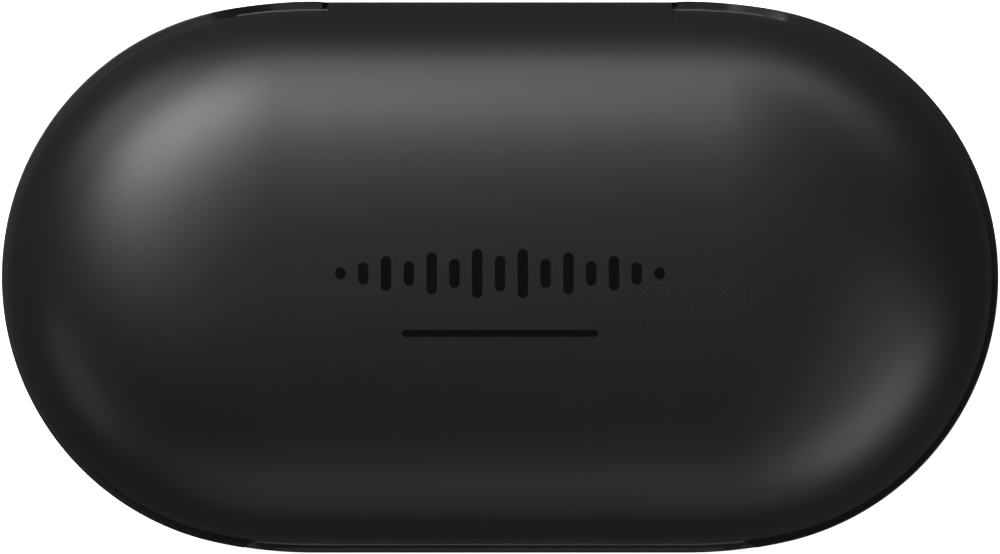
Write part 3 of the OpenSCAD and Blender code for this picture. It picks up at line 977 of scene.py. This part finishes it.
VIEW_WIDTH = 0.07025
LENS = 400
SENSOR = 36


def make_floor():
    """A white paper floor that glows a little, so that shadows on it stay soft."""
    mesh = bpy.data.meshes.new("floor")
    corners = [(x * FLOOR_HALF, y * FLOOR_HALF, 0) for x, y in ((-1, -1), (1, -1), (1, 1), (-1, 1))]
    mesh.from_pydata(corners, [], [(0, 1, 2, 3)])
    floor = add_object("floor", mesh)
    paper = grained("floor_paper", (0.9, 0.9, 0.9), 0.8, 2.0, 0.02, 0.01,
                    Emission_Color=(1, 1, 1, 1), Emission_Strength=FLOOR_GLOW)
    paint(floor, paper)
    floor.visible_glossy = False


def make_world():
    """A dim sky, darkest overhead and a little brighter towards the horizon."""
    world = bpy.data.worlds.new("studio")
    world.use_nodes = True
    tree = world.node_tree
    coords = tree.nodes.new("ShaderNodeTexCoord")
    split = tree.nodes.new("ShaderNodeSeparateXYZ")
    ramp = tree.nodes.new("ShaderNodeMapRange")
    for key, number in SKY.items():
        ramp.inputs[key].default_value = number
    tree.links.new(coords.outputs["Generated"], split.inputs["Vector"])
    tree.links.new(split.outputs["Z"], ramp.inputs["Value"])
    background = tree.nodes["Background"]
    background.inputs["Color"].default_value = (1, 1, 1, 1)
    tree.links.new(ramp.outputs["Result"], background.inputs["Strength"])
    bpy.context.scene.world = world


def make_lights():
    """Soft boxes out of the camera's sight, all aimed at the case."""
    for name, place, width, height, power in LIGHTS:
        data = bpy.data.lights.new(name, "AREA")
        data.shape = "RECTANGLE"
        data.size = width
        data.size_y = height
        data.energy = power
        lamp = add_object(name, data)
        lamp.location = place
        lamp.rotation_euler = (LIGHT_TARGET - Vector(place)).to_track_quat("-Z", "Y").to_euler()
        lamp.visible_camera = False


def make_camera():
    """A long lens looking straight down, far enough to take in VIEW_WIDTH at the base's widest level."""
    data = bpy.data.cameras.new("camera")
    data.lens = LENS
    data.sensor_width = SENSOR
    data.clip_start = 0.01
    data.clip_end = 5.0
    camera = add_object("camera", data)
    camera.location = (0, 0, CROWN_Z * MM + VIEW_WIDTH / SENSOR * LENS)
    camera.rotation_euler = (0, 0, 0)
    bpy.context.scene.camera = camera


# ---- The scene ----------------------------------------------------------------------------

bpy.context.scene.view_settings.view_transform = "Standard"
make_camera()
paint_nodes()
shell = slot_material("shell_plastic")
inside = slot_material("deck_plastic")
# The bead round the lid's lower edge gets a lighter colour than the shell: a painted highlight standing in for the
# bright line of light along that edge.
paint(make_lid(), shell, grained("lid_edge_painted_highlight", (0.06, 0.06, 0.063), 0.3, 0.09, 0.001, 0.05))
paint(make_base(), shell)
for ear_side in (-1, 1):
    paint(make_ear(ear_side), shell)
paint(make_deck(), inside)
paint(make_liner(), inside)
for pin_place in ("left_outer", "left_inner", "right_inner", "right_outer"):
    make_spring(pin_place)
paint(make_mark(), grained("gloss_print", (0.004, 0.004, 0.0045), 0.16, 0.2, 0.0008, 0.05))
make_floor()
make_world()
make_lights()
